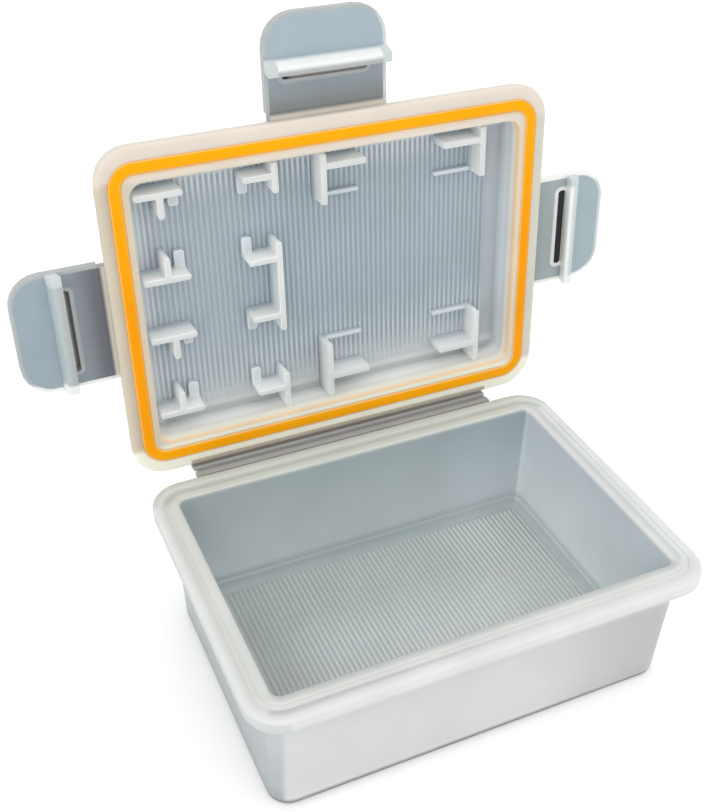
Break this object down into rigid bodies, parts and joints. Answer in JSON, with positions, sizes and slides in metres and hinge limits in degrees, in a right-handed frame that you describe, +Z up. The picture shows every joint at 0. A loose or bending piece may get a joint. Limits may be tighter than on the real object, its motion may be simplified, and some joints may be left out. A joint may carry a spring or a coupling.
{
  "type": "camera battery case",
  "caption": "Small hinged hard case of frosted translucent plastic, with a soft gasket, flap latches whose hooks catch under the rim, and card holders in the lid.",
  "frame": {"origin": "middle of the tray's flat underside, which stands on the table", "axes": "+X along the lid's hinge to the right, +Y from the front to the hinge, +Z up; the lid stands open at rest"},
  "size_m": [0.0934, 0.06, 0.0848],
  "materials": {
    "case_plastic": "frosted translucent polypropylene",
    "film_plastic": "thin polypropylene film",
    "latch_plastic": "frosted translucent polypropylene",
    "holder_plastic": "frosted translucent polypropylene",
    "gasket_silicone": "soft orange silicone"
  },
  "bodies": {
    "tray_body": {"tray": "case_plastic", "hinge_strap_tray": "case_plastic", "hinge_film": "film_plastic"},
    "lid_body": {"lid": "case_plastic", "gasket": "gasket_silicone", "hinge_strap_lid": "case_plastic", "latch_film_front": "film_plastic", "latch_film_left": "film_plastic", "latch_film_right": "film_plastic", "large_card_corner_upper_left": "holder_plastic", "large_card_corner_upper_right": "holder_plastic", "large_card_corner_lower_left": "holder_plastic", "large_card_corner_lower_right": "holder_plastic", "small_card_bar_1": "holder_plastic", "small_card_bar_2": "holder_plastic", "small_card_bar_3": "holder_plastic", "small_card_bar_4": "holder_plastic", "small_card_hook_top": "holder_plastic", "small_card_hook_middle": "holder_plastic", "small_card_hook_bottom": "holder_plastic"},
    "front_latch_body": {"latch_front": "latch_plastic"},
    "left_latch_body": {"latch_left": "latch_plastic"},
    "right_latch_body": {"latch_right": "latch_plastic"}
  },
  "joints": [
    {"name": "lid_hinge", "type": "hinge", "parent": "tray_body", "child": "lid_body", "pos_m": [0, 0.02572, 0.02088], "axis": [1, 0, 0], "range_deg": [-85, 94.37], "deforming": ["hinge_film"]},
    {"name": "front_latch_hinge", "type": "hinge", "parent": "lid_body", "child": "front_latch_body", "pos_m": [0, 0.03297, 0.0716], "axis": [1, 0, 0], "range_deg": [0, 90], "deforming": ["latch_film_front"]},
    {"name": "left_latch_hinge", "type": "hinge", "parent": "lid_body", "child": "left_latch_body", "pos_m": [-0.034, 0.03104, 0.04627], "axis": [0, 0.0762, 0.9971], "range_deg": [0, 90], "deforming": ["latch_film_left"]},
    {"name": "right_latch_hinge", "type": "hinge", "parent": "lid_body", "child": "right_latch_body", "pos_m": [0.034, 0.03104, 0.04627], "axis": [0, -0.0762, -0.9971], "range_deg": [0, 90], "deforming": ["latch_film_right"]}
  ]
}
